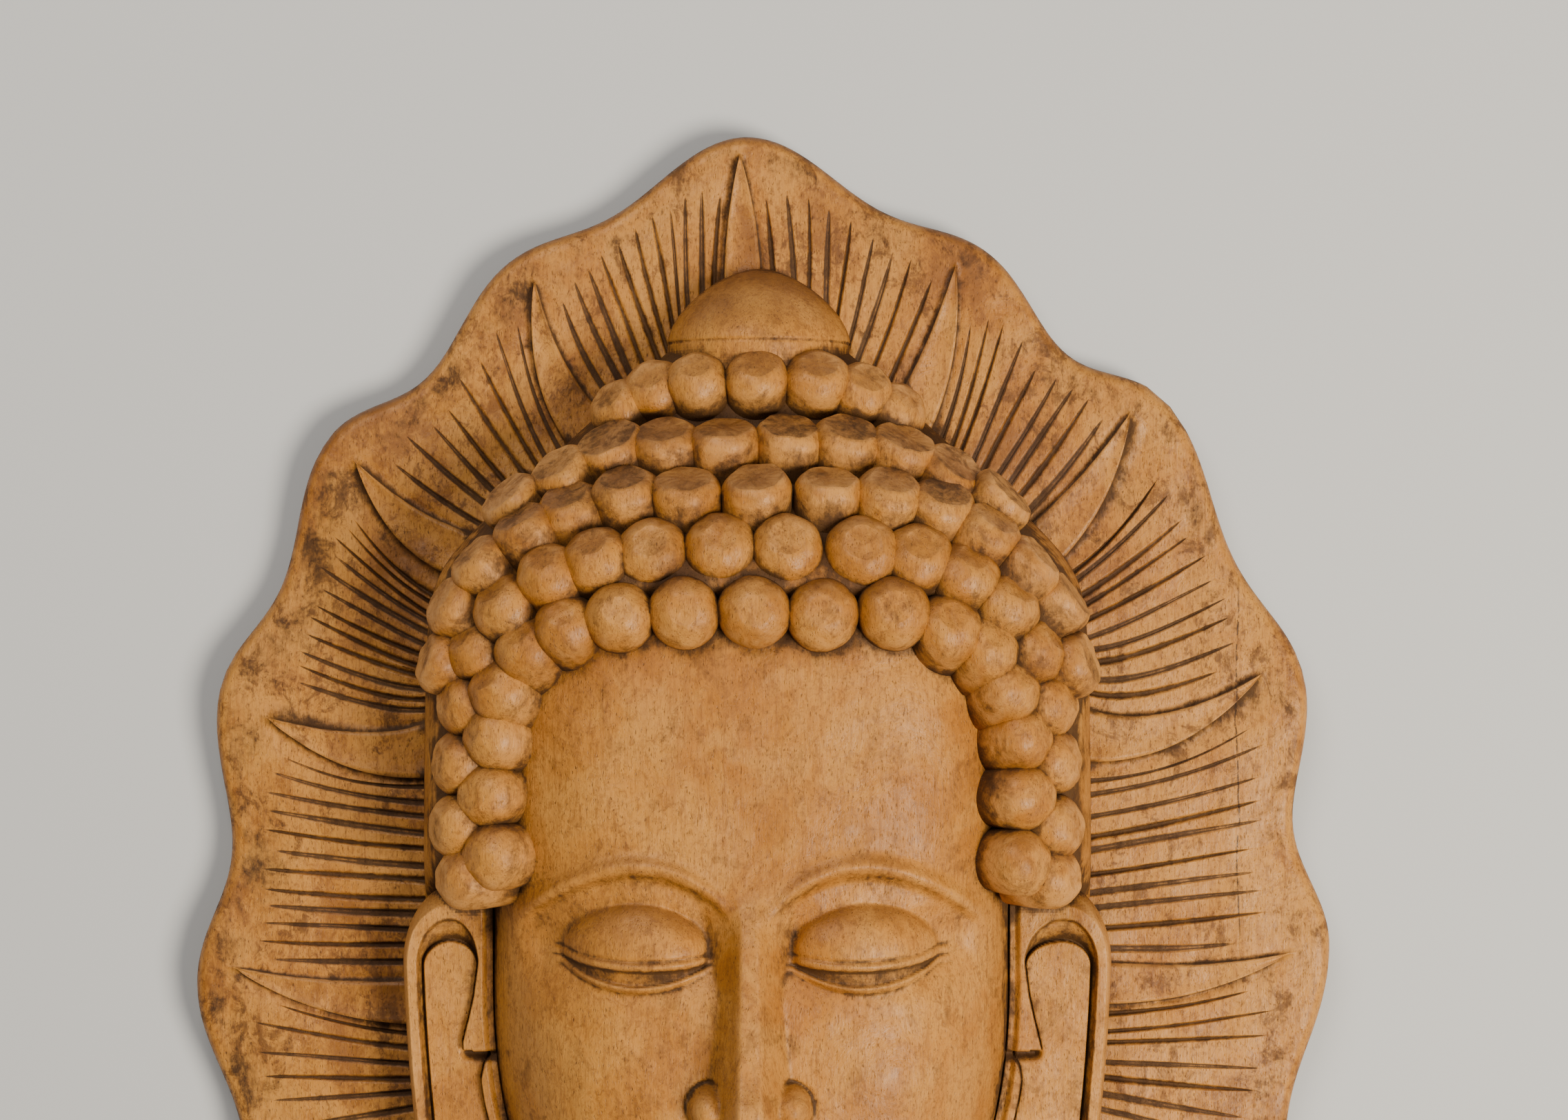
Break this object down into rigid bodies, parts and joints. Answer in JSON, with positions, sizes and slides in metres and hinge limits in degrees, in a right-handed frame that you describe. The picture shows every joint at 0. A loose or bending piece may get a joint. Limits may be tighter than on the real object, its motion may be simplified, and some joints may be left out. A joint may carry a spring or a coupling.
{
  "type": "carved wooden head mask",
  "caption": "Carved wooden wall mask: a calm head with snail curls, topknot and long ears in high relief on a lobed halo with leaves and gouge cuts.",
  "frame": {"origin": "centre of the flat back's outline box, in the plane of the back", "axes": "+Z out of the carving, away from the flat back; +Y towards the top of the head; +X towards the viewer's right"},
  "size_m": [0.6004, 0.7382, 0.1659],
  "materials": {
    "carved_wood": "honey-brown hardwood, hand carved, worn wax polish, dark stain in the recesses"
  },
  "bodies": {
    "root": {"buddha_mask": "carved_wood"}
  },
  "joints": []
}
